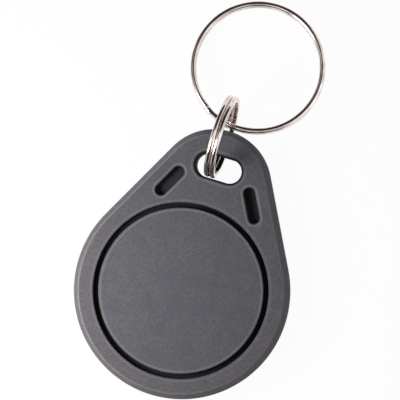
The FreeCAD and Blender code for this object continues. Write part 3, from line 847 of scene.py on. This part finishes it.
def floor_material():
    material, g = new_material("pale_floor")
    paper = g.add("ShaderNodeBsdfDiffuse", inputs={"Color": (0.9, 0.9, 0.9, 1.0)})
    white = g.add("ShaderNodeEmission", inputs={"Color": (1.0, 1.0, 1.0, 1.0), "Strength": 1.0})
    whiteness = FLOOR_WHITENESS * seen_or_reflected(g)
    both = g.add("ShaderNodeMixShader", inputs={0: whiteness, 1: paper, 2: white})
    g.add("ShaderNodeOutputMaterial", inputs={"Surface": both})
    return material


def slab(name, corners, material):
    """A flat panel through corners."""
    mesh = bpy.data.meshes.new(name)
    mesh.from_pydata(corners, [], [tuple(range(len(corners)))])
    mesh.materials.append(material)
    panel = bpy.data.objects.new(name, mesh)
    bpy.context.scene.collection.objects.link(panel)
    return panel


touch = Vector((0.0, -back_edge, 0.0))
uphill = Vector((0.0, math.cos(slope), math.sin(slope)))
sideways = Vector((1.0, 0.0, 0.0))
floor = slab("floor", [touch + a * sideways + b * uphill for a, b in (
    (-FLOOR_SPAN, -FLOOR_FRONT), (FLOOR_SPAN, -FLOOR_FRONT),
    (FLOOR_SPAN, FLOOR_SPAN), (-FLOOR_SPAN, FLOOR_SPAN))], floor_material())
print("floor slopes %.2f degrees" % math.degrees(slope))

# %% [markdown]
# The camera stands nearly square above the face, a little to the right, and is rolled so that the
# fob leans to the right in the picture. Its focal length is given in pixels of a 400 pixel picture.

# %% Camera
PICTURE_PIXELS = 400
FOCAL_PIXELS = 2737.0
SENSOR = 36.0
ROLL = math.radians(17.21)
camera_place = Vector((35.64, 14.79, 404.2)) * MM
aim = Vector((-1.2, 13.55, 4.2)) * MM

camera_data = bpy.data.cameras.new("camera")
camera_data.sensor_width = SENSOR
camera_data.lens = FOCAL_PIXELS * SENSOR / PICTURE_PIXELS
camera = bpy.data.objects.new("camera", camera_data)
bpy.context.scene.collection.objects.link(camera)
back = (camera_place - aim).normalized()
head = Vector((-math.sin(ROLL), math.cos(ROLL), 0.0))
right = head.cross(back).normalized()
head = back.cross(right)
for row in range(3):
    camera.matrix_world[row][0] = right[row]
    camera.matrix_world[row][1] = head[row]
    camera.matrix_world[row][2] = back[row]
    camera.matrix_world[row][3] = camera_place[row]
bpy.context.scene.camera = camera
print("camera %.0f mm above the face, lens %.0f mm" % (camera_place.z / MM, camera_data.lens))

# %% [markdown]
# A small lamp near the left side gives the face its fall of light from left to right, and a low one
# on the right fills the far bevel.

# %% Lamps
def in_picture(across, up, above):
    """A point given from the picture's middle: to the right, up, and towards the camera."""
    return aim + across * right + up * head + above * back


def lamp(name, place, size, power, colour=(1.0, 1.0, 1.0)):
    """A square area lamp that faces the fob."""
    data = bpy.data.lights.new(name, "AREA")
    data.size = size
    data.energy = power
    data.color = colour
    light = bpy.data.objects.new(name, data)
    light.location = place
    light.rotation_euler = (place - aim).to_track_quat("Z", "Y").to_euler()
    light.visible_camera = False
    bpy.context.scene.collection.objects.link(light)
    return light


key_light = lamp("window_left", in_picture(-0.066, -0.014, 0.048), 0.045, 0.094, (1.0, 0.98, 0.97))
fill_light = lamp("fill_right", in_picture(0.32, -0.06, 0.16), 0.2, 0.075)
print("lamps:", key_light.name, fill_light.name)

# %% [markdown]
# The surroundings light the fob evenly and look white. Only reflections see the dark parts of the
# room, which draw the dark lines along the bright wire of the rings.

# %% Surroundings
WHITE = (1.0, 1.0, 1.0, 1.0)
ROOM_COLOUR = (0.022, 0.013, 0.012, 1.0)
WORLD_LIGHT = 0.15
DARK_PARTS = [  # how dark, direction in the picture, cosines of its outer and inner angle
    (0.97, (0.0, 0.4, 0.92), 0.95, 0.982),
    (0.98, (-0.02, 0.72, 0.7), 0.84, 0.93),
    (0.98, (-0.1, 0.97, 0.2), 0.6, 0.78),
    (0.95, (-0.72, 0.45, 0.53), 0.87, 0.93),
    (0.97, (-0.2, -0.93, 0.3), 0.66, 0.82),
    (0.4, (0.0, -0.2, 0.98), 0.955, 0.985)]

world = bpy.data.worlds.new("studio")
bpy.context.scene.world = world
world.use_nodes = True
world.node_tree.nodes.clear()
sky = Graph(world.node_tree)


def towards(direction, low, high):
    """1 where the sky lies in a direction of the picture, 0 away from it."""
    way = (direction[0] * right + direction[1] * head + direction[2] * back).normalized()
    look = sky.add("ShaderNodeTexCoord", output="Generated")
    near = sky.add("ShaderNodeVectorMath", {"operation": "DOT_PRODUCT"}, {0: look, 1: way},
                   output="Value")
    return sky.step(near, low, high)


room = strongest(sky, [share * towards(*part) for share, *part in DARK_PARTS])
paths = sky.tree.nodes.new("ShaderNodeLightPath")
camera_ray = Value(sky, paths.outputs["Is Camera Ray"])
backdrop = blend_colours(sky, (1.0 - camera_ray) * room, WHITE, ROOM_COLOUR)
lit = sky.add("ShaderNodeBackground", inputs={"Color": WHITE, "Strength": WORLD_LIGHT})
seen = sky.add("ShaderNodeBackground", inputs={"Color": backdrop, "Strength": 1.0})
both = sky.add("ShaderNodeMixShader", inputs={0: seen_or_reflected(sky), 1: lit, 2: seen})
sky.add("ShaderNodeOutputWorld", inputs={"Surface": both})
print(len(DARK_PARTS), "dark parts of the room")

# %% Finish
bpy.context.scene.view_settings.view_transform = "Standard"
